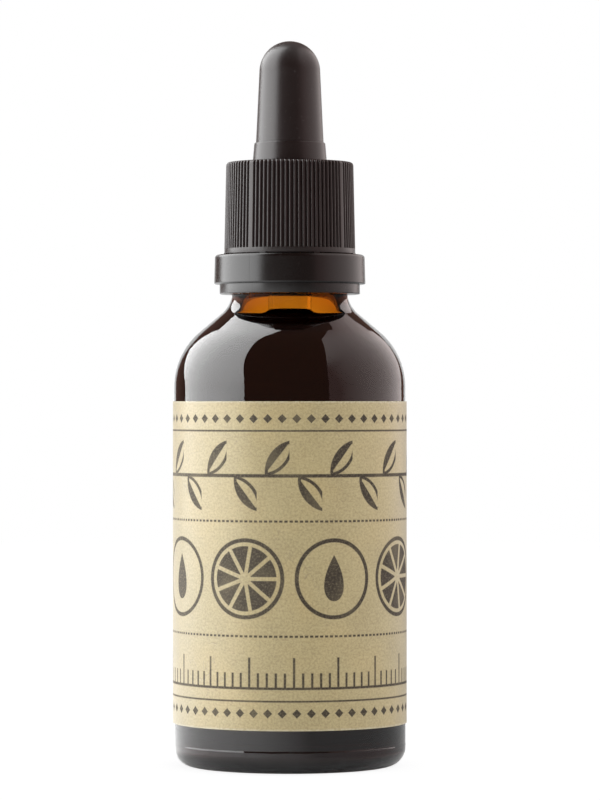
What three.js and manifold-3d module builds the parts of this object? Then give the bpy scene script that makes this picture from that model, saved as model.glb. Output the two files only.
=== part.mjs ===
// Amber glass dropper bottle with a paper label, a ribbed screw cap with its tamper ring,
// a rubber teat and a glass pipette. Millimetres, +Z up, origin at the centre of the base.

import * as THREE from 'three';
import { mergeVertices } from 'three/addons/utils/BufferGeometryUtils.js';
import Module from 'manifold-3d';

const wasm = await Module();
wasm.setup();

const { degToRad } = THREE.MathUtils;

// Glass body
const bodyRadius = 18.5;
const bodyWall = 1.9;
const heelRadius = 3;
const standingInner = 13;
const puntRise = 1.2;
const puntFullness = 0.7;
const baseThickness = 3.2;
const innerHeelRadius = 4;

// Shoulder: a convex bend, a straight slope and a concave fillet into the neck
const shoulderStart = 60.2;
const shoulderBend = 11.5;
const shoulderSlope = degToRad(50);
const neckFillet = 4.6;

// Neck and its thread
const neckRadius = 9.1;
const neckBore = 5.7;
const beadRadius = 10;
const beadFoot = 77.8;
const beadHeight = 1.4;
const beadChamfer = 0.5;
const finishRadius = 7.75;
const rimHeight = 92.6;
const rimRound = 0.7;
const threadPitch = 3;
const threadTurns = 1.5;
const threadStart = 84.6;
const threadDepth = 0.8;
const threadFoot = 2;
const threadCrest = 0.9;
const threadRoot = 0.3;
const threadFade = 0.1;

// Paper label, with its seam at the back
const labelFoot = 6.9;
const labelTop = 58.2;
const labelThickness = 0.15;
const labelGlue = 0.05;
const labelSeam = degToRad(11);

// Tamper ring
const ringFoot = 75.8;
const ringLipHeight = 1.1;
const ringLipRadius = 11.15;
const ringFootRadius = 12.03;
const ringTopRadius = 11.9;
const ringTop = 81.6;
const ringRound = 0.4;
const ringBore = 10.4;
const ringCatchBore = 9.4;
const ringCatchHeight = 1.5;
const stubCount = 8;
const stubSize = new THREE.Vector3(0.5, 0.9, 0.45);

// Screw cap
const capFoot = 81.9;
const capGrooveRadius = 10;
const capFlangeFoot = 82.4;
const capFlangeRadius = 10.3;
const ribFoot = 82.9;
const capTop = 96.4;
const ribFootRadius = 10.45;
const ribTopRadius = 10.15;
const ribDepth = 0.4;
const ribsPerQuarter = 21;
const landPitches = 1.6;
const ribGapPitches = 0.55;
const ribFlankPitches = 0.08;
const landAngle = degToRad(233.5);
const capEdgeRound = 0.5;
const capBore = 9.2;
const capThreadDepth = 0.45;
const capPlate = 1.85;
const capHole = 6.1;

// Rubber teat
const sealGap = 0.1;
const flangeRadius = 8.3;
const flangeThickness = 1.7;
const teatNeckRadius = 5.85;
const collarFoot = 96.7;
const collarFootRadius = 5.92;
const collarTop = 99.5;
const collarTopRadius = 5.67;
const bulbFoot = 99.7;
const bulbFootRadius = 5.42;
const bulbTopRadius = 4.87;
const teatTop = 115.8;
const teatWall = 1.2;
const teatBore = 3.6;

// Glass pipette and the liquid
const pipetteRadius = 3.5;
const pipetteBore = 2.5;
const pipetteTip = 9;
const pipetteTipRadius = 1.6;
const pipetteTipBore = 0.8;
const pipetteTaper = 13;
const pipetteTop = 98.2;
const pipetteRound = 0.4;
const liquidLevel = 73;
const liquidGap = 0.1;
const pipetteClearance = 0.3;
const tipClearance = 0.6;

// Facets round each piece, and along one bend of an outline
const bodyFacets = 40;
const teatFacets = 32;
const pipetteFacets = 20;
const labelFacets = 64;
const bendSteps = 2;

// Closed mesh to a solid that can be joined and cut
function toSolid(geometry) {
  const bare = geometry.clone();
  bare.deleteAttribute('normal');
  bare.deleteAttribute('uv');
  const merged = mergeVertices(bare, 1e-4);
  const vertProperties = merged.attributes.position.array;
  const corners = merged.index.array;
  const kept = [];
  for (let i = 0; i < corners.length; i += 3) {
    const [a, b, c] = corners.slice(i, i + 3);
    const flat = a === b || b === c || c === a;
    if (!flat) kept.push(a, b, c);
  }
  const triVerts = new Uint32Array(kept);
  return new wasm.Manifold(new wasm.Mesh({ numProp: 3, vertProperties, triVerts }));
}

function toGeometry(solid) {
  const { vertProperties, triVerts } = solid.getMesh();
  const geometry = new THREE.BufferGeometry();
  geometry.setAttribute('position', new THREE.BufferAttribute(vertProperties, 3));
  geometry.setIndex(new THREE.BufferAttribute(triVerts, 1));
  geometry.computeVertexNormals();
  return geometry;
}

// Solid of revolution about +Z; the outline of (radius, height) points runs up the outside
function revolve(outline, facets) {
  const lathe = new THREE.LatheGeometry(outline, facets);
  lathe.rotateX(Math.PI / 2);
  return toSolid(lathe);
}

function closed(points) {
  return [...points, points[0].clone()];
}

function drum(radius, foot, top, facets = bodyFacets) {
  const outline = new THREE.Path([new THREE.Vector2(0, foot)]);
  outline.lineTo(radius, foot).lineTo(radius, top).lineTo(0, top);
  return revolve(outline.getPoints(), facets);
}

// Outline from a straight wall up to a narrower neck
function shoulderOutline(wallRadius, neck, bend, fillet) {
  const turn = shoulderSlope;
  const run = (wallRadius - neck - (bend + fillet) * (1 - Math.cos(turn))) / Math.sin(turn);
  const end = shoulderStart + (bend + fillet) * Math.sin(turn) + run * Math.cos(turn);
  const outline = new THREE.Path();
  outline.absarc(wallRadius - bend, shoulderStart, bend, 0, turn);
  outline.absarc(neck + fillet, end, fillet, Math.PI + turn, Math.PI, true);
  return outline.getPoints(bendSteps);
}

// Outline of the inside of the bottle from the axis up to the bore, drawn in by an inset
function cavityOutline(inset) {
  const floor = puntRise + baseThickness + inset;
  const wall = bodyRadius - bodyWall - inset;
  const heel = innerHeelRadius - inset;
  const outline = new THREE.Path([new THREE.Vector2(0, floor)]);
  outline.lineTo(wall - heel, floor).absarc(wall - heel, floor + heel, heel, -Math.PI / 2, 0);
  const bend = shoulderBend - bodyWall - inset;
  const fillet = neckFillet + bodyWall + inset;
  return [...outline.getPoints(bendSteps), ...shoulderOutline(wall, neckBore - inset, bend, fillet)];
}

// Ridge that winds round +Z, from a straight bar whose section stands out along +X;
// the ridge dies into its wall over a part of a turn at each end
function threadRidge(wallRadius, depth, side) {
  const section = new THREE.Shape();
  section.moveTo(-threadRoot, -threadFoot / 2);
  section.lineTo(depth, -threadCrest / 2).lineTo(depth, threadCrest / 2);
  section.lineTo(-threadRoot, threadFoot / 2);
  const steps = bodyFacets * threadTurns;
  const bar = new THREE.ExtrudeGeometry(section, { depth: threadTurns, steps, bevelEnabled: false });
  const places = bar.attributes.position;
  for (let i = 0; i < places.count; i += 1) {
    const turns = places.getZ(i);
    const shown = Math.min(1, turns / threadFade, (threadTurns - turns) / threadFade);
    const height = places.getX(i) - (depth + threadRoot / 2) * (1 - shown);
    const radius = wallRadius + side * height;
    const angle = 2 * Math.PI * turns + Math.PI / bodyFacets;
    places.setXYZ(
      i,
      radius * Math.cos(angle),
      radius * Math.sin(angle),
      threadStart + threadPitch * turns - side * places.getY(i),
    );
  }
  return toSolid(bar);
}

function glassBottle() {
  const foot = new THREE.Path([new THREE.Vector2(0, puntRise)]);
  foot.quadraticCurveTo(standingInner * puntFullness, puntRise, standingInner, 0);
  foot.absarc(bodyRadius - heelRadius, heelRadius, heelRadius, -Math.PI / 2, 0);
  const shoulder = shoulderOutline(bodyRadius, neckRadius, shoulderBend, neckFillet);
  const finish = new THREE.Path([shoulder.at(-1)]);
  finish.lineTo(neckRadius, beadFoot).lineTo(beadRadius, beadFoot + beadChamfer);
  finish.lineTo(beadRadius, beadFoot + beadHeight - beadChamfer);
  finish.lineTo(finishRadius, beadFoot + beadHeight + beadChamfer);
  finish.absarc(finishRadius - rimRound, rimHeight - rimRound, rimRound, 0, Math.PI / 2);
  finish.absarc(neckBore + rimRound, rimHeight - rimRound, rimRound, Math.PI / 2, Math.PI);
  const outline = [
    ...foot.getPoints(bendSteps),
    ...shoulder,
    ...finish.getPoints(bendSteps).slice(1),
    ...cavityOutline(0).reverse(),
  ];
  const thread = threadRidge(finishRadius, threadDepth, 1);
  return revolve(outline, bodyFacets).add(thread);
}

function paperLabel() {
  const inner = bodyRadius + labelGlue;
  const back = Math.PI / 2;
  const start = back + labelSeam / 2;
  const end = back + 2 * Math.PI - labelSeam / 2;
  const outline = new THREE.Shape();
  outline.absarc(0, 0, inner + labelThickness, start, end);
  outline.absarc(0, 0, inner, end, start, true);
  const sheet = new THREE.ExtrudeGeometry(outline, {
    depth: labelTop - labelFoot,
    curveSegments: labelFacets / 2,
    bevelEnabled: false,
  });
  return toSolid(sheet.translate(0, 0, labelFoot));
}

function bittersLiquid() {
  const filled = revolve([...cavityOutline(liquidGap), new THREE.Vector2(0, rimHeight)], bodyFacets);
  const well = drum(pipetteRadius + pipetteClearance, pipetteTip - tipClearance, rimHeight, pipetteFacets);
  return filled.intersect(drum(bodyRadius, 0, liquidLevel)).subtract(well);
}

function tamperRing() {
  const outline = new THREE.Path([new THREE.Vector2(ringCatchBore, ringFoot)]);
  outline.lineTo(ringLipRadius, ringFoot).lineTo(ringLipRadius, ringFoot + ringLipHeight);
  outline.lineTo(ringFootRadius - ringRound / 2, ringFoot + ringLipHeight);
  outline.lineTo(ringFootRadius, ringFoot + ringLipHeight + ringRound / 2);
  outline.absarc(ringTopRadius - ringRound, ringTop - ringRound, ringRound, 0, Math.PI / 2);
  outline.lineTo(ringBore, ringTop).lineTo(ringBore, ringFoot + ringCatchHeight);
  outline.lineTo(ringCatchBore, ringFoot + ringCatchHeight);
  let ring = revolve(closed(outline.getPoints(bendSteps)), bodyFacets);
  for (let i = 0; i < stubCount; i += 1) {
    const stub = new THREE.BoxGeometry(stubSize.x, stubSize.y, 2 * stubSize.z);
    stub.translate(ringBore + stubSize.x, 0, ringTop);
    stub.rotateZ(((i + 0.5) * 2 * Math.PI) / stubCount);
    ring = ring.add(toSolid(stub));
  }
  return ring;
}

// Outline of the ribbed wall: in each quarter one wide land and then a run of ribs
function ribOutline() {
  const pitch = Math.PI / 2 / (ribsPerQuarter + landPitches);
  const points = [];
  const addRib = (middle, crest) => {
    const flank = ribFlankPitches * pitch;
    const corners = [
      [-crest / 2 - flank, ribFootRadius - ribDepth],
      [-crest / 2, ribFootRadius],
      [crest / 2, ribFootRadius],
      [crest / 2 + flank, ribFootRadius - ribDepth],
    ];
    for (const [turn, radius] of corners) {
      const angle = middle + turn;
      points.push(new THREE.Vector2(radius * Math.cos(angle), radius * Math.sin(angle)));
    }
  };
  for (let quarter = 0; quarter < 4; quarter += 1) {
    const land = landAngle + (quarter * Math.PI) / 2;
    addRib(land, (landPitches - ribGapPitches) * pitch);
    for (let rib = 0; rib < ribsPerQuarter; rib += 1) {
      addRib(land + (landPitches / 2 + rib + 0.5) * pitch, (1 - ribGapPitches) * pitch);
    }
  }
  return new THREE.Shape(points);
}

// Outline carried through rings of (scale, height)
function loft(outline, rings) {
  const steps = rings.length - 1;
  const wall = new THREE.ExtrudeGeometry(outline, { depth: steps, steps, bevelEnabled: false });
  const places = wall.attributes.position;
  for (let i = 0; i < places.count; i += 1) {
    const ring = rings[Math.round(places.getZ(i))];
    places.setXYZ(i, places.getX(i) * ring.x, places.getY(i) * ring.x, ring.y);
  }
  return toSolid(wall);
}

function screwCap() {
  const topScale = ribTopRadius / ribFootRadius;
  const edgeScale = (ribTopRadius - capEdgeRound) / ribFootRadius;
  const wall = loft(ribOutline(), [
    new THREE.Vector2(1, ribFoot),
    new THREE.Vector2(topScale, capTop - capEdgeRound),
    new THREE.Vector2(edgeScale, capTop),
  ]);
  const skirt = drum(capGrooveRadius, capFoot, ribFoot).add(drum(capFlangeRadius, capFlangeFoot, ribFoot));
  const inside = drum(capBore, 0, capTop - capPlate).add(drum(capHole, 0, capTop + capPlate, teatFacets));
  return wall.add(skirt).subtract(inside).add(threadRidge(capBore, capThreadDepth, -1));
}

function rubberTeat() {
  const flangeFoot = rimHeight + sealGap;
  const flangeTop = flangeFoot + flangeThickness;
  const domeFoot = teatTop - bulbTopRadius;
  const outline = new THREE.Path([new THREE.Vector2(teatBore, flangeFoot)]);
  outline.lineTo(flangeRadius, flangeFoot).lineTo(flangeRadius, flangeTop);
  outline.lineTo(teatNeckRadius, flangeTop).lineTo(teatNeckRadius, capTop);
  outline.lineTo(collarFootRadius, collarFoot).lineTo(collarTopRadius, collarTop);
  outline.lineTo(bulbFootRadius, bulbFoot);
  outline.absarc(0, domeFoot, bulbTopRadius, 0, Math.PI / 2);
  outline.lineTo(0, teatTop - teatWall);
  outline.absarc(0, domeFoot, bulbTopRadius - teatWall, Math.PI / 2, 0, true);
  outline.lineTo(bulbFootRadius - teatWall, bulbFoot);
  outline.lineTo(teatBore, pipetteTop);
  return revolve(closed(outline.getPoints(2 * bendSteps)), teatFacets);
}

// Radii from the pipette's fine tip up to the straight tube
function taperOutline(tipRadius, radius, foot) {
  const middle = foot + pipetteTaper / 2;
  const from = new THREE.Vector2(tipRadius, foot);
  const to = new THREE.Vector2(radius, foot + pipetteTaper);
  const bend = [new THREE.Vector2(tipRadius, middle), new THREE.Vector2(radius, middle)];
  return new THREE.CubicBezierCurve(from, ...bend, to).getPoints(2 * bendSteps);
}

function glassPipette() {
  const rim = new THREE.Path();
  rim.absarc(pipetteRadius - pipetteRound, pipetteTop - pipetteRound, pipetteRound, 0, Math.PI / 2);
  rim.lineTo(pipetteBore, pipetteTop);
  const outline = [
    ...taperOutline(pipetteTipRadius, pipetteRadius, pipetteTip),
    ...rim.getPoints(bendSteps),
    ...taperOutline(pipetteTipBore, pipetteBore, pipetteTip).reverse(),
  ];
  return revolve(closed(outline), pipetteFacets);
}

function pipetteDose() {
  const foot = pipetteTip + liquidGap;
  const taper = taperOutline(pipetteTipBore - liquidGap, pipetteBore - liquidGap, foot);
  const axisFoot = new THREE.Vector2(0, foot);
  const edge = new THREE.Vector2(pipetteBore - liquidGap, liquidLevel);
  return revolve([axisFoot, ...taper, edge, new THREE.Vector2(0, liquidLevel)], pipetteFacets);
}

function piece(name, solid, look) {
  const mesh = new THREE.Mesh(toGeometry(solid), new THREE.MeshStandardMaterial(look));
  mesh.name = name;
  return mesh;
}

const amber = { color: 0x6b3308, roughness: 0.05, metalness: 0, transparent: true, opacity: 0.8 };
const kraft = { color: 0xcdbd94, roughness: 0.9, metalness: 0 };
const bitters = { color: 0x1a0b05, roughness: 0.1, metalness: 0 };
const blackPlastic = { color: 0x2a2425, roughness: 0.45, metalness: 0 };
const blackRubber = { color: 0x262223, roughness: 0.65, metalness: 0 };
const clearGlass = { color: 0xe6ece8, roughness: 0.05, metalness: 0, transparent: true, opacity: 0.4 };

const bottle = new THREE.Group();
bottle.add(piece('glass_bottle', glassBottle(), amber));
bottle.add(piece('paper_label', paperLabel(), kraft));
bottle.add(piece('bitters_liquid', bittersLiquid(), bitters));

const dropper = new THREE.Group();
dropper.add(piece('screw_cap', screwCap(), blackPlastic));
dropper.add(piece('rubber_teat', rubberTeat(), blackRubber));
dropper.add(piece('glass_pipette', glassPipette(), clearGlass));
dropper.add(piece('pipette_dose', pipetteDose(), bitters));

const bittersBottle = new THREE.Group();
bittersBottle.add(bottle, piece('tamper_ring', tamperRing(), blackPlastic), dropper);

export default bittersBottle;
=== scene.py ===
import math

import bpy
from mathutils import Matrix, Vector


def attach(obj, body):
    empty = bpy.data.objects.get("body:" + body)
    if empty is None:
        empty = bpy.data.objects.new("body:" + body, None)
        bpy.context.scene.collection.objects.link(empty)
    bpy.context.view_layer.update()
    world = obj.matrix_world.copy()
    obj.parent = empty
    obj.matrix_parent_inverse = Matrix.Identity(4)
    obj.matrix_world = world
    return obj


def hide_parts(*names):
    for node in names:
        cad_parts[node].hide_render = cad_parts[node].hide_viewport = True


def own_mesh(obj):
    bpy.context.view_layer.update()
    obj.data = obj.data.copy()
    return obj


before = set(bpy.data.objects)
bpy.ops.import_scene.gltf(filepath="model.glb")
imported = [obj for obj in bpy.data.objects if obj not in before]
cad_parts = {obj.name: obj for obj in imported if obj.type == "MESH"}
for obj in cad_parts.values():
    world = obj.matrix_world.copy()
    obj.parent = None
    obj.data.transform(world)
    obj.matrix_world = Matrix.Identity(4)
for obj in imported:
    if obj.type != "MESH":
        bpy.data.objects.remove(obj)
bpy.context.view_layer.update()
mm = 0.001
scene = bpy.context.scene
print("frame loaded,", len(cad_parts), "nodes")


# modelling helpers

arcStep = math.radians(4)  # longest step round a large rounding
smallStep = math.radians(18)  # and round a small one
brace = 0.12  # how close to its ends a long run gets its extra rows, in mm


def objectMode():
    if bpy.context.mode != "OBJECT":
        bpy.ops.object.mode_set(mode="OBJECT")


def clearSelection():
    objectMode()
    bpy.ops.object.select_all(action="DESELECT")


def softened(corners):
    # corners of (radius, height, rounding) in mm, each rounding drawn as an arc of short steps
    points = []
    for i, (radius, height, rounding) in enumerate(corners):
        corner = Vector((radius, height))
        if not rounding:
            points.append(corner)
            continue
        before = (Vector(corners[i - 1][:2]) - corner).normalized()
        after = (Vector(corners[(i + 1) % len(corners)][:2]) - corner).normalized()
        half = before.angle(after) / 2
        middle = corner + (before + after).normalized() * rounding / math.sin(half)
        reach = rounding / math.tan(half)
        first = (corner + before * reach - middle).normalized()
        last = (corner + after * reach - middle).normalized()
        steps = max(2, math.ceil(first.angle(last) / (arcStep if rounding > 1 else smallStep)))
        points += [middle + first.slerp(last, s / steps) * rounding for s in range(steps + 1)]
    return points


def braced(points):
    # long straight runs get a row near each end, so that smooth shading stays flat along them
    held = [points[0]]
    for here, there in zip(points, points[1:]):
        gap = (there - here).length
        if gap > 2:
            held += [here.lerp(there, brace / gap), here.lerp(there, 1 - brace / gap)]
        held.append(there)
    return held


def turned(name, outline, around, closed=False, start=0, sweep=360, parts=1):
    # one vertex is extruded along the outline and the run of edges is spun about the upright axis
    clearSelection()
    bpy.ops.mesh.primitive_plane_add(size=mm)
    piece = bpy.context.object
    piece.name = piece.data.name = name
    bpy.ops.object.mode_set(mode="EDIT")
    bpy.ops.mesh.select_mode(type="VERT")
    bpy.ops.mesh.select_all(action="SELECT")
    bpy.ops.mesh.merge(type="CENTER")
    turn = math.radians(start)
    at = Vector((0, 0, 0))
    run = braced(list(outline) + [outline[0]] * closed)
    for i, (radius, height) in enumerate(run):
        there = Vector((radius * math.cos(turn), radius * math.sin(turn), height)) * mm
        if i:
            bpy.ops.mesh.extrude_verts_indiv()
        bpy.ops.transform.translate(value=there - at)
        at = there
    bpy.ops.mesh.select_all(action="SELECT")
    share = math.radians(sweep / parts)
    bpy.ops.mesh.spin(steps=around // parts, angle=share, center=(0, 0, 0), axis=(0, 0, 1))
    bpy.ops.mesh.select_all(action="SELECT")
    if parts > 1:  # the first part is copied round
        bpy.ops.mesh.spin(
            steps=parts - 1, dupli=True, angle=share * (parts - 1), center=(0, 0, 0), axis=(0, 0, 1))
        bpy.ops.mesh.select_all(action="SELECT")
    bpy.ops.mesh.remove_doubles(threshold=0.003 * mm)
    if sweep < 360:
        bpy.ops.mesh.fill_holes(sides=0)
    bpy.ops.mesh.normals_make_consistent(inside=False)
    bpy.ops.object.mode_set(mode="OBJECT")
    return piece


def reshapeRadius(piece, newRadius):
    # moves each point straight in or out from the axis; newRadius gets radius, angle and height in mm
    for vertex in piece.data.vertices:
        x, y, z = vertex.co / mm
        radius = math.hypot(x, y)
        if radius > 0.01:
            share = newRadius(radius, math.atan2(y, x), z) / radius
            vertex.co.x *= share
            vertex.co.y *= share
    piece.data.update()


def pickFaces(piece, wanted):
    # leaves the piece in edit mode with only the wanted faces selected
    bpy.ops.object.mode_set(mode="EDIT")
    bpy.ops.mesh.select_mode(type="FACE")
    bpy.ops.mesh.select_all(action="DESELECT")
    bpy.ops.object.mode_set(mode="OBJECT")
    for face in piece.data.polygons:
        face.select = wanted(face.center / mm, face.normal)
    bpy.ops.object.mode_set(mode="EDIT")


def smoothed(piece, angle=32):
    clearSelection()
    piece.select_set(True)
    bpy.context.view_layer.objects.active = piece
    bpy.ops.object.shade_smooth_by_angle(angle=math.radians(angle))


def placed(piece, node, body, slot, *finishes):
    piece.data.materials.clear()
    for finish in finishes:
        piece.data.materials.append(finish)
    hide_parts(node)
    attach(piece, body)
    print(piece.name, "on", body, "with", len(piece.data.polygons), "faces")


# shader helpers

class Wire:
    # one output of a node; sums on it add Math nodes
    def __init__(self, board, socket):
        self.board = board
        self.socket = socket

    def calc(self, operation, *values, clamp=False):
        settings = {"operation": operation, "use_clamp": clamp}
        return self.board.node("ShaderNodeMath", settings, dict(enumerate(values)))

    def __add__(self, other):
        return self.calc("ADD", self, other)

    def __radd__(self, other):
        return self.calc("ADD", other, self)

    def __sub__(self, other):
        return self.calc("SUBTRACT", self, other)

    def __rsub__(self, other):
        return self.calc("SUBTRACT", other, self)

    def __mul__(self, other):
        return self.calc("MULTIPLY", self, other)

    def __rmul__(self, other):
        return self.calc("MULTIPLY", other, self)

    def __truediv__(self, other):
        return self.calc("DIVIDE", self, other)

    def __mod__(self, other):
        return self.calc("FLOORED_MODULO", self, other)

    def __pow__(self, other):
        return self.calc("POWER", self, other)

    def __abs__(self):
        return self.calc("ABSOLUTE", self)

    def floor(self):
        return self.calc("FLOOR", self)

    def root(self):
        return self.calc("SQRT", self)

    def lowest(self, other):
        return self.calc("MINIMUM", self, other)

    def highest(self, other):
        return self.calc("MAXIMUM", self, other)

    def under(self, limit, soft):
        # 1 well under the limit, 0 well over it
        return self.calc("ADD", (limit - self) / soft, 0.5, clamp=True)

    def over(self, limit, soft):
        return self.calc("ADD", (self - limit) / soft, 0.5, clamp=True)


class Finish:
    # a material and its nodes
    def __init__(self, name):
        self.material = bpy.data.materials.new(name)
        self.material.use_nodes = True
        self.tree = self.material.node_tree
        self.tree.nodes.clear()
        self.out = self.tree.nodes.new("ShaderNodeOutputMaterial")

    def node(self, kind, settings=None, sockets=None, out=0):
        made = self.tree.nodes.new(kind)
        for key, value in (settings or {}).items():
            setattr(made, key, value)
        for key, value in (sockets or {}).items():
            self.feed(made.inputs[key], value)
        return Wire(self, made.outputs[out])

    def feed(self, socket, value):
        if isinstance(value, Wire):
            self.tree.links.new(value.socket, socket)
        elif socket.type == "RGBA":
            socket.default_value = (*value, 1)
        else:
            socket.default_value = value

    def place(self):
        return self.node("ShaderNodeTexCoord", out="Object")

    def bearing(self, y, x):
        return self.node("ShaderNodeMath", {"operation": "ARCTAN2"}, {0: y, 1: x})

    def axes(self, vector):
        apart = self.node("ShaderNodeSeparateXYZ", None, {0: vector})
        outputs = apart.socket.node.outputs
        return [Wire(self, outputs[i]) for i in range(3)]

    def noise(self, vector, scale, detail=2.0, roughness=0.5):
        sockets = {"Vector": vector, "Scale": scale, "Detail": detail, "Roughness": roughness}
        return self.node("ShaderNodeTexNoise", None, sockets)

    def mix(self, share, first, second):
        return self.node("ShaderNodeMix", {"data_type": "RGBA"}, {0: share, 6: first, 7: second}, 2)

    def bump(self, height, strength, distance):
        sockets = {"Height": height, "Strength": strength, "Distance": distance}
        return self.node("ShaderNodeBump", None, sockets)

    def shade(self, **sockets):
        # the main shader; the keys are its socket names with the spaces left out
        made = self.node("ShaderNodeBsdfPrincipled")
        inputs = {socket.name.replace(" ", ""): socket for socket in made.socket.node.inputs}
        for key, value in sockets.items():
            self.feed(inputs[key], value)
        self.surface(made)

    def surface(self, shader):
        self.feed(self.out.inputs["Surface"], shader)

    def stain(self, colour, density):
        # light taken up inside the glass
        soaked = self.node("ShaderNodeVolumeAbsorption", None, {"Color": colour, "Density": density})
        self.feed(self.out.inputs["Volume"], soaked)


# glass bottle

bottle = {
    "around": 160,
    "wall": 18.5, "inner": 16.6, "heel": 3.0, "innerHeel": 3.4, "floor": 3.5,
    "punt": 1.2, "puntFullness": 9.1, "standing": 13.0,
    "bendFoot": 60.5, "bend": 11.5, "innerFoot": 61.1, "innerBend": 9.6, "slope": 50,
    "neck": 9.15, "neckRound": 5.0, "throat": 7.2, "throatRound": 5.7, "throatTop": 77.4,
    "bore": 5.7, "boreFoot": 79.6, "boreRound": 2.0,
    "bead": 10.0, "beadFoot": 77.8, "beadTop": 79.2,
    "finish": 7.75, "rim": 92.6, "rimRound": 0.7,
    "ridgeHeight": 3.4, "ridge": 0.03,  # parting line of the mould just above the heel
    "threadFoot": 83.3, "threadTop": 91.3, "threadRow": 0.16, "threadDepth": 0.8,
}
thread = {"start": 84.6, "pitch": 3.0, "turns": 1.5, "foot": 2.0, "crest": 0.9, "fade": 0.12}


def shoulderCorners(wall, neck, foot, bend, fillet):
    # the two corners of the shoulder line before they are rounded
    slope = math.radians(bottle["slope"])
    low = foot + bend * math.tan(slope / 2)
    high = low + (wall - neck) / math.tan(slope)
    return [(wall, low, bend), (neck, high, fillet)]


def threadHeight(angle, height, depth):
    # how far the thread stands out of its wall at an angle and height
    best = 0
    for lap in range(3):
        turns = (angle / math.tau) % 1 + lap
        if turns > thread["turns"]:
            break
        ends = min(1, turns / thread["fade"], (thread["turns"] - turns) / thread["fade"])
        away = abs(height - thread["start"] - thread["pitch"] * turns)
        flank = (thread["foot"] / 2 - away) / (thread["foot"] - thread["crest"]) * 2
        rise = max(0, min(1, flank)) * max(0, ends)
        best = max(best, rise * rise * (3 - 2 * rise))
    return best * depth


def cavityOutline(grow=0.0):
    # inside of the bottle from the bore down to the middle of its floor
    b = bottle
    shoulder = shoulderCorners(b["inner"], b["throat"], b["innerFoot"], b["innerBend"], b["throatRound"])
    corners = [(b["bore"], b["rim"], 0), (b["bore"], b["boreFoot"], b["boreRound"])]
    corners += [(b["throat"], b["throatTop"], b["boreRound"]), *reversed(shoulder)]
    corners += [(b["inner"], b["floor"], b["innerHeel"]), (0, b["floor"], 0)]
    return [Vector((p.x + grow * (p.x > 0), p.y)) for p in softened(corners)[1:]]


def makeBottle():
    s = bottle
    punt = []
    for i in range(9):  # shallow dome under the base
        t = i / 9
        spread = 2 * t * (1 - t) * s["puntFullness"] + t * t * s["standing"]
        punt.append(Vector((spread, s["punt"] * (1 - t * t))))
    outside = softened([
        (*punt[-1], 0), (s["standing"], 0, 0.3), (s["wall"], 0, s["heel"]),
        (s["wall"], s["ridgeHeight"] - 0.2, 0), (s["wall"] + s["ridge"], s["ridgeHeight"] - 0.05, 0),
        (s["wall"] + s["ridge"], s["ridgeHeight"] + 0.05, 0), (s["wall"], s["ridgeHeight"] + 0.2, 0),
        *shoulderCorners(s["wall"], s["neck"], s["bendFoot"], s["bend"], s["neckRound"]),
        (s["neck"], s["beadFoot"], 0.25), (s["bead"], s["beadFoot"] + 0.5, 0.25),
        (s["bead"], s["beadTop"] - 0.4, 0.25), (s["finish"], s["beadTop"] + 0.5, 0.4),
        (s["finish"], s["threadFoot"], 0),
    ])[1:]
    rows = math.ceil((s["threadTop"] - s["threadFoot"]) / s["threadRow"])
    rowHeight = (s["threadTop"] - s["threadFoot"]) / rows
    finish = [Vector((s["finish"], s["threadFoot"] + rowHeight * i)) for i in range(1, rows + 1)]
    rim = softened([
        (s["finish"], s["threadTop"], 0), (s["finish"], s["rim"], s["rimRound"]),
        (s["bore"], s["rim"], s["rimRound"]), (s["bore"], s["rim"] - 3, 0),
    ])[1:-1]
    glass = turned("amberBottle", punt + outside + finish + rim + cavityOutline(), s["around"])

    def withThread(radius, angle, height):
        onFinish = abs(radius - s["finish"]) < 0.02 and s["threadFoot"] < height < s["threadTop"]
        return radius + (threadHeight(angle, height, s["threadDepth"]) if onFinish else 0)

    reshapeRadius(glass, withThread)
    smoothed(glass)
    return glass


def amberGlass():
    f = Finish("amberGlass")
    place = f.place()
    swell = f.noise(place, 55, 1.0)  # slow waves left by the mould
    smear = f.noise(place, 260, 4.0, 0.6)
    rough = 0.012 + 0.03 * smear.over(0.56, 0.25)
    f.shade(
        BaseColor=(0.97, 0.94, 0.88), Roughness=rough, IOR=1.52, TransmissionWeight=1.0,
        Normal=f.bump(swell, 0.12, 0.0006),
    )
    f.stain((0.885, 0.64, 0.0), 1300)
    return f.material


amberBottle = makeBottle()
placed(amberBottle, "glass_bottle", "bottle", "amber_glass", amberGlass())


# bitters in the bottle

liquid = {
    "around": 128, "level": 71.3, "climb": 0.2, "edge": 1.4, "into": 0.02,
    "surfaceTilt": 0.3, "surfaceBand": 0.2,  # which faces count as the top
}


def makeLiquid():
    s = liquid
    wall = cavityOutline(s["into"])[::-1]  # from the floor up
    wall = [Vector((p.x, p.y - s["into"])) if p.y < bottle["floor"] + 0.01 else p for p in wall]
    contact = s["level"] + s["climb"]
    above = next(i for i, p in enumerate(wall) if p.y > contact)
    low, high = wall[above - 1], wall[above]
    rim = low.lerp(high, (contact - low.y) / (high.y - low.y))
    top = []
    for i in range(1, 9):  # the surface creeps up the glass at its edge
        t = i / 8
        top.append(Vector((rim.x - s["edge"] * t, s["level"] + s["climb"] * (1 - t) ** 2)))
    body = turned("bittersFill", wall[:above] + [rim] + top + [Vector((0, s["level"]))], s["around"])
    smoothed(body, 50)
    return body


def darkBitters(name, specular):
    f = Finish(name)
    cloud = f.noise(f.place(), 90, 2.0)
    f.shade(
        BaseColor=f.mix(cloud, (0.0045, 0.0012, 0.0008), (0.0085, 0.0024, 0.0014)),
        Roughness=0.06 + 0.04 * cloud, SpecularIORLevel=specular,
    )
    return f.material


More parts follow.
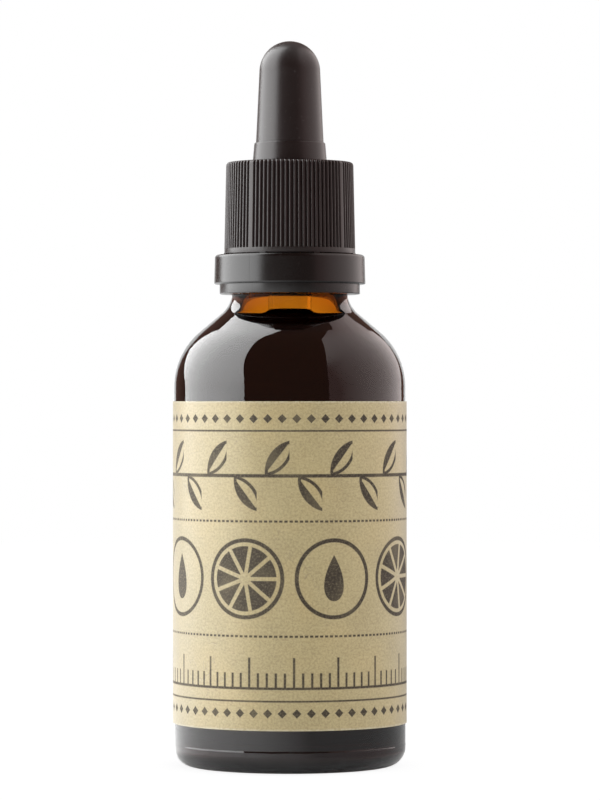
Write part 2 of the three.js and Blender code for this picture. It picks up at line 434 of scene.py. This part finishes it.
bittersFill = makeLiquid()
bittersDeep = darkBitters("bittersDeep", 0.05)  # against glass it hardly shines
bittersTop = darkBitters("bittersTop", 0.35)
placed(bittersFill, "bitters_liquid", "bottle", "bitters", bittersDeep, bittersTop)
for face in bittersFill.data.polygons:
    onTop = face.center.z > (liquid["level"] - liquid["surfaceBand"]) * mm
    face.material_index = int(onTop and face.normal.z > liquid["surfaceTilt"])


# paper label

label = {
    "around": 192, "inner": 18.55, "outer": 18.7, "foot": 6.9, "top": 58.2, "gap": 11,
    "lozenges": 50, "dots": 142, "leaves": 22, "rings": 8, "ticks": 80,  # repeats round the label
    "lozengeRows": (48.6, 2.7), "dotRows": (32.6, 14.7), "rules": (46.7, 4.6),  # heights of the rows
    "stem": 39.7, "leaf": 7.0, "leafWide": 1.45, "leafLean": 52,
    "ringRow": 23.65, "ring": 6.0, "wheel": 5.1, "segments": 9,
    "dropFoot": -3.5, "dropTop": 3.7, "dropWide": 0.6,
    "tickFoot": 6.6, "tick": 2.4,
}


def makeLabel():
    s = label
    rows = 6
    outside = [Vector((s["outer"], s["foot"] + (s["top"] - s["foot"]) * i / rows)) for i in range(rows + 1)]
    inside = [Vector((s["inner"], p.y)) for p in reversed(outside)]
    sheet = turned(
        "kraftLabel", outside + inside, s["around"], closed=True,
        start=90 - s["gap"] / 2, sweep=360 - s["gap"],  # the spin goes clockwise
    )
    smoothed(sheet)
    return sheet


def kraftPaper():
    f = Finish("kraftPaper")
    x, y, z = f.axes(f.place())
    u = f.bearing(x, 0 - y) * label["outer"]  # mm round
    v = z * 1000 - label["foot"]  # mm up
    height = label["top"] - label["foot"]
    flat = f.node("ShaderNodeCombineXYZ", None, {0: u, 1: v})

    # paper: warm and pale patches, sandy speckle, short fibres that lie two ways, a few creases dented in the
    # bump and made darker as painted shade
    cloud = f.noise(flat, 0.2, 3.0)
    patch = f.noise(flat, 0.075, 2.0, 0.6)
    sand = f.noise(flat, 2.7, 3.0, 0.7)
    fleck = f.noise(flat, 3.6, 2.0)
    runs = []
    for turn in (0.6, -0.8):
        sockets = {"Vector": flat, "Rotation": (0, 0, turn), "Scale": (0.9, 3.6, 1)}
        runs.append(f.noise(f.node("ShaderNodeMapping", None, sockets), 1.0, 3.0))
    fibre = runs[0].highest(runs[1])
    crease = abs(f.noise(flat, 0.13, 3.0, 0.55) - 0.5).under(0.004, 0.006)
    crease = crease * f.noise(flat, 0.06).over(0.56, 0.1)
    tone = f.mix(cloud.over(0.5, 0.5), (0.348, 0.27, 0.106), (0.426, 0.34, 0.143))
    tone = f.mix(0.45 * patch.over(0.56, 0.2), tone, (0.478, 0.347, 0.123))
    tone = f.mix(0.48 * sand.over(0.56, 0.3), tone, (0.582, 0.492, 0.25))
    tone = f.mix(0.36 * sand.under(0.43, 0.22), tone, (0.224, 0.166, 0.064))
    tone = f.mix(0.3 * fibre.over(0.66, 0.12), tone, (0.29, 0.203, 0.076))
    tone = f.mix(0.5 * fleck.over(0.67, 0.08), tone, (0.2, 0.14, 0.07))
    # painted shade: the creases are made darker in colour
    tone = f.mix(0.3 * crease, tone, (0.2, 0.15, 0.08))

    # matt brown ink, worn in places, and paler speckled paper along the top and bottom edges
    worn = f.noise(flat, 3.0, 4.0, 0.7).under(0.57, 0.2) * f.noise(flat, 0.16, 2.0).under(0.66, 0.3)
    ink = labelPrint(f, u, v) * (0.76 + 0.22 * worn)
    tone = f.mix(ink, tone, (0.021, 0.012, 0.003))
    paleEdges = abs(v - height / 2).over(height / 2 - 0.22, 0.3) * sand.over(0.46, 0.2)
    tone = f.mix(0.6 * paleEdges, tone, (0.6, 0.55, 0.4))
    f.shade(
        BaseColor=tone, Roughness=0.31 + 0.1 * sand + 0.4 * ink, IOR=1.6, SpecularIORLevel=0.56,
        CoatWeight=0.9 - 0.9 * ink, CoatRoughness=0.6, CoatIOR=1.55,
        Normal=f.bump(sand + fibre * 0.5 - crease * 1.5, 0.3, 0.00006),
    )
    return f.material


def labelPrint(f, u, v):
    # a plain pattern of borders, leaves on a stem, fruit wheels and a tick scale, in mm on the paper
    s = label
    edge = 0.14  # softness of the print
    length = math.radians(360 - s["gap"]) * s["outer"]

    def line(height, half):
        return abs(v - height).under(half, edge)

    # borders of small lozenges, and dotted rules between the rows
    ink = line(s["rules"][0], 0.14).highest(line(s["rules"][1], 0.14))
    pitch = length / s["lozenges"]
    for height in s["lozengeRows"]:
        ink = ink.highest((abs(u % pitch - pitch / 2) + abs(v - height)).under(0.72, edge))
    for height in s["dotRows"]:
        ink = ink.highest(line(height, 0.17) * (u % (length / s["dots"])).under(0.52, 0.1))

    # leaves on alternate sides of a stem
    pitch, leaf, wide = length / s["leaves"], s["leaf"], s["leafWide"]
    lean = math.radians(s["leafLean"])
    stem = v - s["stem"]
    ink = ink.highest(abs(stem).under(0.27, edge))
    cell = (u / pitch).floor()
    side = (cell % 2) * 2 - 1
    along = u - (cell + 0.5) * pitch + 1.2
    out = stem * side
    a = along * math.cos(lean) + out * math.sin(lean)
    b = out * math.cos(lean) - along * math.sin(lean)
    bow = (leaf * leaf / 4 + wide * wide) / (2 * wide)
    reach = ((a - leaf / 2) ** 2 + (abs(b) + (bow - wide)) ** 2).root() - bow
    outline = abs(reach + 0.2).under(0.26, edge)
    shaded = reach.under(0, edge) * b.over(0.2, edge)
    ink = ink.highest(outline).highest(shaded)

    # fruit wheels and drops in rings, in turn
    pitch = length / s["rings"]
    cell = (u / pitch).floor()
    across = u - (cell + 0.5) * pitch
    up = v - s["ringRow"]
    far = (across * across + up * up).root()
    ink = ink.highest(abs(far - s["ring"]).under(0.32, edge))
    segment = math.tau / s["segments"]
    wedge = abs(f.bearing(up, across) / segment % 1 - 0.5) * far * segment
    wheel = far.under(s["wheel"], edge) * wedge.under(far * (segment / 2) - 0.3, edge) * far.over(1.0, edge)
    foot, top = s["dropFoot"], s["dropTop"]
    dropWidth = s["dropWide"] * (top - up) * ((up - foot) / (top - foot)).highest(0).root()
    drop = abs(across).under(dropWidth, edge) * up.over(foot, edge) * up.under(top, edge)
    odd = cell % 2
    ink = ink.highest(wheel * odd).highest(drop * (1 - odd))

    # tick scale
    foot, pitch = s["tickFoot"], length / s["ticks"]
    tick = (u / pitch).floor()
    offTick = abs(u - (tick + 0.5) * pitch)
    long = abs(tick % 5).under(0.5, 0.1)
    tall = (v - foot).under(s["tick"] + long * s["tick"], edge) * v.over(foot, edge)
    ink = ink.highest(offTick.under(0.19, edge) * tall)
    return ink.highest(line(foot, 0.2))


kraftLabel = makeLabel()
placed(kraftLabel, "paper_label", "bottle", "kraft_paper", kraftPaper())


# tamper ring

ring = {
    "around": 144, "foot": 75.3, "lip": 11.22, "lipTop": 76.9, "wide": 12.1, "narrow": 11.97, "top": 81.6,
    "bore": 10.4, "catch": 9.42, "catchTop": 77.3, "stubs": 8, "stubHeight": 0.18, "stubInner": 10.65,
    "stubOuter": 11.15, "stubHalf": 2.6,
}


def makeRing():
    s = ring
    outline = softened([
        (s["catch"], s["foot"], 0.15), (s["lip"], s["foot"], 0.18), (s["lip"], s["lipTop"], 0),
        (s["wide"], s["lipTop"], 0.22), (s["narrow"], s["top"], 0.5), (s["stubOuter"], s["top"], 0),
        (s["stubInner"], s["top"], 0), (s["bore"], s["top"], 0.12), (s["bore"], s["catchTop"], 0),
        (s["catch"], s["catchTop"], 0.15),
    ])
    band = turned("tamperBand", outline, s["around"], closed=True)
    share = 360 / s["stubs"]

    def underStub(centre, normal):
        radius = math.hypot(centre.x, centre.y)
        turn = math.degrees(math.atan2(centre.y, centre.x)) % share
        onTop = normal.z > 0.9 and abs(centre.z - s["top"]) < 0.01
        return onTop and s["stubInner"] < radius < s["stubOuter"] and abs(turn - share / 2) < s["stubHalf"]

    pickFaces(band, underStub)
    bpy.ops.mesh.extrude_region_move(TRANSFORM_OT_translate={"value": (0, 0, s["stubHeight"] * mm)})
    objectMode()
    smoothed(band)
    return band


def blackPlastic(name, rough, dark, light, seamAngle=None):
    f = Finish(name)
    place = f.place()
    x, y, z = f.axes(place)
    grain = f.noise(place, 9000, 2.0)  # fine spark texture of the mould
    flow = f.noise(place, 160, 3.0, 0.55)
    scuff = f.noise(place, 900, 4.0, 0.7)
    tone = f.mix(flow, dark, light)
    tone = f.mix(0.2 * scuff.over(0.66, 0.15), tone, (0.04, 0.034, 0.032))
    height = grain * 0.35 + scuff * 0.2
    if seamAngle is not None:  # parting line of the mould, a hair wide
        seam = abs(f.bearing(y, x) - math.radians(seamAngle)).under(0.006, 0.006)
        height = height - seam * 1.5
    f.shade(
        BaseColor=tone, Roughness=rough - 0.05 + 0.1 * flow + 0.05 * grain,
        Normal=f.bump(height, 0.25, 0.00003),
    )
    return f.material


tamperBand = makeRing()
ringPlastic = blackPlastic("ringPlastic", 0.24, (0.0008, 0.0003, 0.0003), (0.002, 0.0009, 0.0008), -121.3)
placed(tamperBand, "tamper_ring", "ring", "black_plastic", ringPlastic)


# screw cap

cap = {
    "perPitch": 10, "ribsPerQuarter": 21, "land": 1.6, "landAngle": 233.5,
    "foot": 81.4, "groove": 10.0, "flangeFoot": 81.68, "flange": 10.47, "ribFoot": 82.6,
    "top": 96.4, "wide": 10.47, "narrow": 10.17, "depth": 0.36, "edge": 0.55,
    "ribCrest": 0.09, "ribFlank": 0.3, "landCrest": 0.5, "landFlank": 0.3,  # shares of a pitch
    "bore": 9.2, "plate": 94.55, "hole": 6.1, "threadDepth": 0.45, "threadReach": 1.2, "threadRows": 30,
}


def makeCap():
    s = cap
    pitches = 4 * (s["ribsPerQuarter"] + s["land"])
    rows = s["threadRows"]
    lowest = thread["start"] - s["threadReach"]
    highest = thread["start"] + thread["pitch"] * thread["turns"] + s["threadReach"]
    threaded = [Vector((s["bore"], highest - (highest - lowest) * i / rows)) for i in range(rows + 1)]
    outside = softened([
        (s["bore"], s["foot"], 0), (s["groove"], s["foot"], 0.08), (s["groove"], s["flangeFoot"], 0),
        (s["flange"], s["flangeFoot"], 0.12), (s["flange"], s["ribFoot"] - 0.04, 0),
        (s["wide"], s["ribFoot"], 0), (s["narrow"], s["top"], s["edge"]), (s["hole"], s["top"], 0.2),
        (s["hole"], s["plate"], 0), (s["bore"], s["plate"], 0.3), (s["bore"], highest + 0.2, 0),
    ])
    around = round(pitches * s["perPitch"])
    shell = turned("ribbedCap", outside[:-1] + threaded, around, closed=True, parts=4)
    quarter = math.pi / 2
    pitch = math.tau / pitches

    def ribHeight(angle):
        # 1 on the crest of a rib or land, 0 on the floor between ribs
        at = ((angle - math.radians(s["landAngle"])) % quarter) / pitch
        at = min(at, quarter / pitch - at) if at > quarter / pitch - s["land"] / 2 else at
        if at < s["land"] / 2:
            fall = (at - s["landCrest"]) / s["landFlank"]
        else:
            fall = (abs((at - s["land"] / 2) % 1 - 0.5) - s["ribCrest"]) / s["ribFlank"]
        return 1 - max(0, min(1, fall)) ** 2

    def withRibs(radius, angle, height):
        if radius < s["bore"] + 0.05:
            deep = lowest < height < highest
            return radius - (threadHeight(angle, height, s["threadDepth"]) if deep else 0)
        if height < s["ribFoot"] - 0.01:
            return radius
        up = (height - s["ribFoot"]) / (s["top"] - s["ribFoot"])
        floor = s["wide"] + (s["narrow"] - s["wide"]) * up - s["depth"]
        return radius - max(0, radius - floor) * (1 - ribHeight(angle))

    reshapeRadius(shell, withRibs)
    smoothed(shell, 45)
    return shell


ribbedCap = makeCap()
capPlastic = blackPlastic("capPlastic", 0.3, (0.0095, 0.0038, 0.0033), (0.014, 0.0068, 0.006))
placed(ribbedCap, "screw_cap", "cap", "black_plastic", capPlastic)


# rubber teat: the part held by the cap, and the bulb

teat = {
    "around": 112, "seat": 92.7, "flange": 8.3, "flangeTop": 94.4, "neck": 5.85, "neckTop": 96.4,
    "collarFoot": 96.7, "collarWide": 5.92, "collarTop": 99.55, "collarNarrow": 5.67, "bore": 3.6,
    "pipetteTop": 98.3, "stop": 2.4,  # the collar closes above the pipette
    "bulbFoot": 99.45, "bulbWide": 5.42, "bulbNarrow": 4.87, "top": 115.8, "wall": 1.2,
    "bulbRows": 8, "domeRows": 24, "pressed": 0.6, "dustFrom": 113.5, "dustSoft": 5.0,
}


def makeCollar():
    s = teat
    outline = softened([
        (s["bore"], s["seat"], 0.1), (s["flange"], s["seat"], 0.3), (s["flange"], s["flangeTop"], 0.3),
        (s["neck"], s["flangeTop"], 0.2), (s["neck"], s["neckTop"], 0),
        (s["collarWide"], s["collarFoot"], 0.1), (s["collarNarrow"], s["collarTop"], 0.22),
        (s["stop"], s["collarTop"], 0), (s["stop"], s["pipetteTop"], 0), (s["bore"], s["pipetteTop"], 0),
    ])
    collar = turned("teatCollar", outline, s["around"], closed=True)
    smoothed(collar)
    return collar


def makeBulb():
    s = teat
    domeFoot = s["top"] - s["bulbNarrow"]

    def side(inset):
        low = Vector((s["bulbWide"] - inset, s["bulbFoot"]))
        high = Vector((s["bulbNarrow"] - inset, domeFoot))
        rows = [low.lerp(high, i / s["bulbRows"]) for i in range(s["bulbRows"])]
        dome = []
        for i in range(s["domeRows"]):
            rise = i / s["domeRows"] * math.pi / 2
            dome.append(Vector((high.x * math.cos(rise), domeFoot + high.x * math.sin(rise))))
        return rows + dome + [Vector((0, domeFoot + high.x))]

    bulb = turned("teatBulb", side(0) + side(s["wall"])[::-1], s["around"], closed=True)
    smoothed(bulb)
    return bulb


def blackRubber():
    f = Finish("blackRubber")
    place = f.place()
    x, y, z = f.axes(place)
    bloom = f.noise(place, 140, 4.0, 0.6)  # pale bloom that comes out of old rubber
    grain = f.noise(place, 5200, 3.0, 0.6)
    dust = f.noise(place, 2400, 2.0)
    tone = f.mix(bloom, (0.0075, 0.0032, 0.0032), (0.0125, 0.0066, 0.0064))
    tone = f.mix(0.3 * dust.over(0.7, 0.08), tone, (0.06, 0.054, 0.052))
    paintedTopSheen = z.over(teat["dustFrom"] * mm, teat["dustSoft"] * mm)  # painted sheen: the top of the dome is coloured pale grey as if lit from above
    # painted sheen: the paler grey on the top of the dome stands in for light from above
    tone = f.mix(paintedTopSheen * paintedTopSheen, tone, (0.058, 0.057, 0.057))
    f.shade(
        BaseColor=tone, Roughness=0.25 + 0.1 * bloom + 0.06 * grain,
        Normal=f.bump(grain + bloom * 0.4, 0.22, 0.00004),
    )
    return f.material


rubber = blackRubber()
teatCollar = makeCollar()
placed(teatCollar, "rubber_teat", "dropper", "black_rubber", rubber)
teatBulb = makeBulb()
placed(teatBulb, "rubber_teat", "dropper", "black_rubber", rubber)
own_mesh(teatBulb)


# glass pipette and the bitters in it

pipette = {
    "around": 72, "outer": 3.5, "inner": 2.95, "tip": 9.0, "tipOuter": 1.6, "tipInner": 0.8,
    "taper": 13.0, "top": 98.2, "round": 0.24,
}


def taperLine(tipRadius, radius, foot):
    # from the fine tip up to the straight tube, along an s-shaped line
    points = []
    for i in range(17):
        t = i / 16
        ease = t * t * (3 - 2 * t)
        points.append(Vector((tipRadius + (radius - tipRadius) * ease, foot + pipette["taper"] * t)))
    return points


def makePipette():
    s = pipette
    tip = softened([
        (s["tipInner"], s["tip"] + 0.6, 0), (s["tipInner"], s["tip"], 0.2), (s["tipOuter"], s["tip"], 0.3),
        (s["tipOuter"], s["tip"] + 0.6, 0),
    ])[1:-1]
    mouth = softened([
        (s["outer"], s["top"] - 2, 0), (s["outer"], s["top"], s["round"]),
        (s["inner"], s["top"], s["round"]), (s["inner"], s["top"] - 2, 0),
    ])
    outside = taperLine(s["tipOuter"], s["outer"], s["tip"])[1:]
    inside = taperLine(s["tipInner"], s["inner"], s["tip"])[1:][::-1]
    tube = turned("dropperPipette", tip + outside + mouth + inside, s["around"], closed=True)
    smoothed(tube)
    return tube


def clearGlass():
    f = Finish("clearGlass")
    place = f.place()
    swell = f.noise(place, 120, 1.0)
    smear = f.noise(place, 420, 3.0, 0.6)
    f.shade(
        BaseColor=(0.97, 0.985, 0.98), Roughness=0.008 + 0.02 * smear.over(0.58, 0.2), IOR=1.5,
        TransmissionWeight=1.0, Normal=f.bump(swell, 0.08, 0.0003),
    )
    f.stain((0.5, 0.62, 0.6), 260)
    return f.material


dose = {"around": 48, "into": 0.02, "foot": 9.1, "level": 72.1, "climb": 0.5, "travel": 30.0}


def makeDoseTip():
    s = dose
    taper = taperLine(pipette["tipInner"] + s["into"], pipette["inner"] + s["into"], pipette["tip"])
    taper = [Vector((p.x, max(p.y, s["foot"]))) for p in taper]
    drop = turned("doseTip", [Vector((0, s["foot"])), *taper, Vector((0, taper[-1].y))], s["around"])
    smoothed(drop, 50)
    return drop


def makeDoseColumn():
    s = dose
    foot = pipette["tip"] + pipette["taper"]
    radius = pipette["inner"] + s["into"]
    surface = [Vector((radius * (1 - i / 8), s["level"] + s["climb"] * (1 - i / 8) ** 3)) for i in range(9)]
    column = turned("doseColumn", [Vector((0, foot)), Vector((radius, foot)), *surface], s["around"])
    smoothed(column, 50)
    return column


creep = {"around": 96, "gap": 0.03, "rise": 1.3, "reach": 1.9, "spread": 4.2, "sunk": 0.06, "left": 0.04}


def makeCreep():
    # the bitters in the bottle creep up the outside of the pipette
    s = creep
    inner, level = pipette["outer"] + s["gap"], liquid["level"]
    curve = []
    for i in range(15):
        away = s["spread"] * (i / 14) ** 2
        fall = (math.exp(-away / s["reach"]) - math.exp(-s["spread"] / s["reach"]))
        curve.append(Vector((inner + away, level + s["rise"] * fall)))
    foot = level - s["sunk"]
    outline = [Vector((inner, foot)), Vector((inner + s["spread"], foot)), *reversed(curve)]
    collar = turned("bittersCreep", outline, s["around"], closed=True)
    smoothed(collar, 50)
    return collar


dropperPipette = makePipette()
placed(dropperPipette, "glass_pipette", "dropper", "clear_glass", clearGlass())
doseTip = makeDoseTip()
placed(doseTip, "pipette_dose", "dropper", "bitters", bittersDeep)
doseColumn = makeDoseColumn()
placed(doseColumn, "pipette_dose", "dose", "bitters", bittersDeep)
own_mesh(doseColumn)
bittersCreep = makeCreep()
placed(bittersCreep, "bitters_liquid", "bottle", "bitters", bittersTop)
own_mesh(bittersCreep)


# floor, backdrop, light and camera

studio = {
    "floor": 6.0, "floorWhite": 0.86, "floorGlow": 1.05, "floorGloss": 1.05, "floorSlope": 2.0, "floorEase": 0.01,
    "floorDim": 0.5, "floorBright": 3.6, "floorShine": 0.85, "contact": 0.0225, "contactSoft": 0.014,
    "backdropAt": 1.0, "backdropWide": 0.84, "backdropHigh": 0.4,
    "lightFrom": 0.06, "lightAway": 0.8, "surround": (0.19, 0.105, 0.085),
    "keyLight": 5.5, "keyRise": 1.9, "keyFall": 1.0,  # at its foot, more up the middle, less at the sides
    "keySpread": 1.15, "roomSpread": 1.06,  # light on matt surfaces from the key side and from the room
    "fillNear": (0.6, 0.38, 0.36), "fillFar": (1.9, 1.68, 1.64), "fillDrop": 3.9,
    # outlines of the two light cards as (azimuth, elevation) seen from the bottle, 0 towards the camera
    "keyCard": [
        (-45, -4), (-46, 12), (-55, 41), (-63, 57), (-78, 69), (-160, 80), (-170, 79), (-145, 75),
        (-138, 62), (-143, 47), (-151, 34), (-151, 24), (-151, 17), (-144, 14), (-136, 10), (-128, 4),
        (-125, -4),
    ],
    "fillCard": [
        (39, -4), (39, 20), (44, 40), (54, 55), (80, 69), (132, 64), (138, 58), (147, 42), (153, 33),
        (159, 24), (157, 18), (154, 13), (151, 8), (147, 2), (147, -4),
    ],
    "keyFacing": (-95, 30), "fillFacing": (95, 30),
}


class Room(Finish):
    # the world and its nodes
    def __init__(self, name):
        self.world = bpy.data.worlds.new(name)
        self.world.use_nodes = True
        self.tree = self.world.node_tree
        self.tree.nodes.clear()
        self.out = self.tree.nodes.new("ShaderNodeOutputWorld")


def plainCard(name, corners, cloth):
    # a flat sheet through the given corners
    clearSelection()
    bpy.ops.mesh.primitive_circle_add(vertices=len(corners), radius=1, fill_type="NGON")
    card = bpy.context.object
    card.name = card.data.name = name
    for vertex, corner in zip(card.data.vertices, corners):
        vertex.co = corner
    card.data.materials.append(cloth)
    return card


def lightCard(name, directions, facing, cloth):
    def pointing(azimuth, elevation):
        a, e = math.radians(azimuth), math.radians(elevation)
        return Vector((math.sin(a) * math.cos(e), -math.cos(a) * math.cos(e), math.sin(e)))

    middle = pointing(*facing)
    corners = []
    for azimuth, elevation in directions:
        ray = pointing(azimuth, elevation)
        corners.append(Vector((0, 0, studio["lightFrom"])) + ray * studio["lightAway"] / ray.dot(middle))
    card = plainCard(name, corners, cloth)
    card.visible_camera = False
    return card


def seenRays(f, *kinds):
    # 1 for the named kinds of ray
    path = f.node("ShaderNodeLightPath")
    outputs = path.socket.node.outputs
    seen = Wire(f, outputs[kinds[0]])
    for kind in kinds[1:]:
        seen = seen.highest(Wire(f, outputs[kind]))
    return seen


def glow(f, strength, colour=(1, 1, 1)):
    return f.node("ShaderNodeEmission", None, {"Color": colour, "Strength": strength})


def blended(f, share, first, second):
    return f.node("ShaderNodeMixShader", None, {0: share, 1: first, 2: second})


def whitePaper(f):
    return f.node("ShaderNodeBsdfDiffuse", None, {"Color": (0.93, 0.93, 0.93)})


def backdropPaper():
    # white to the eye, in gloss and through glass
    f = Finish("backdropPaper")
    seen = seenRays(f, "Is Camera Ray", "Is Glossy Ray", "Is Transmission Ray")
    f.surface(blended(f, seen, whitePaper(f), glow(f, 1.0)))
    return f.material


def floorPaper():
    # shows white and still takes a shadow; in gloss it is brighter on the side of the key light
    f = Finish("floorPaper")
    x, y, z = f.axes(f.place())
    s = studio
    away = (x * x + y * y).root()
    bright = s["floorGloss"] - s["floorSlope"] * x / (away + s["floorEase"])
    bright = bright.highest(s["floorDim"]).lowest(s["floorBright"])
    clear = away.over(s["contact"], s["contactSoft"])  # dark close to the bottle
    seen = seenRays(f, "Is Camera Ray") * s["floorWhite"]
    mirrored = seenRays(f, "Is Glossy Ray") * clear * s["floorShine"]
    shown = blended(f, seen, whitePaper(f), glow(f, s["floorGlow"]))
    f.surface(blended(f, mirrored, shown, glow(f, bright)))
    return f.material


def keyCloth():
    # a large soft box, brightest half way up and a little darker at its sides
    f = Finish("keyCloth")
    x, y, z = f.axes(f.place())
    across = y / studio["lightAway"]
    level = studio["keyLight"] + studio["keyRise"] * z * (1 - z) - studio["keyFall"] * across * across
    f.surface(glow(f, level))
    return f.material


def spreadCloth():
    f = Finish("spreadCloth")
    f.surface(glow(f, studio["keySpread"]))
    return f.material


def fillCloth():
    # a warm white wall that gets brighter away from the camera
    f = Finish("fillCloth")
    x, y, z = f.axes(f.place())
    far = (y / studio["lightAway"]).over(-0.1, 1.8) - studio["fillDrop"] * y * (z - 0.6).highest(0)
    f.surface(glow(f, 1.0, f.mix(far, studio["fillNear"], studio["fillFar"])))
    return f.material


def studioRoom():
    # white to the eye and through glass, dark and warm in gloss, even on matt surfaces
    f = Room("studioRoom")
    white = seenRays(f, "Is Camera Ray", "Is Transmission Ray")
    tint = f.mix(white, studio["surround"], (1, 1, 1))
    tint = f.mix(seenRays(f, "Is Diffuse Ray"), tint, [studio["roomSpread"]] * 3)
    f.surface(f.node("ShaderNodeBackground", None, {"Color": tint}))
    f.world.cycles.sampling_method = "NONE"
    return f.world


half = studio["floor"] / 2
plainCard("floor", [(-half, -half, 0), (half, -half, 0), (half, half, 0), (-half, half, 0)], floorPaper())
side, back, high = studio["backdropWide"] / 2, studio["backdropAt"], studio["backdropHigh"]
sheet = [(-side, back, 0), (side, back, 0), (side, back, high), (-side, back, high)]
plainCard("backdrop", sheet, backdropPaper())

# the key card is seen in the gloss only, and its spread lights the matt surfaces
keyCard = lightCard("keyCard", studio["keyCard"], studio["keyFacing"], keyCloth())
keyCard.visible_diffuse = keyCard.visible_transmission = False
keySpread = lightCard("keySpread", studio["keyCard"], studio["keyFacing"], spreadCloth())
keySpread.visible_glossy = keySpread.visible_transmission = False
fillCard = lightCard("fillCard", studio["fillCard"], studio["fillFacing"], fillCloth())
fillCard.visible_diffuse = False
scene.world = studioRoom()

view = {"away": 0.65, "high": 0.0584, "side": 0.00163, "lens": 182.8}
camera = bpy.data.cameras.new("photoCamera")
camera.lens = view["lens"]
camera.clip_start, camera.clip_end = 0.05, 20
cameraObject = bpy.data.objects.new("photoCamera", camera)
scene.collection.objects.link(cameraObject)
cameraObject.location = (view["side"], -view["away"], view["high"])
cameraObject.rotation_euler = (math.radians(90), 0, 0)
scene.camera = cameraObject
scene.view_settings.view_transform = "Standard"
print("studio ready")
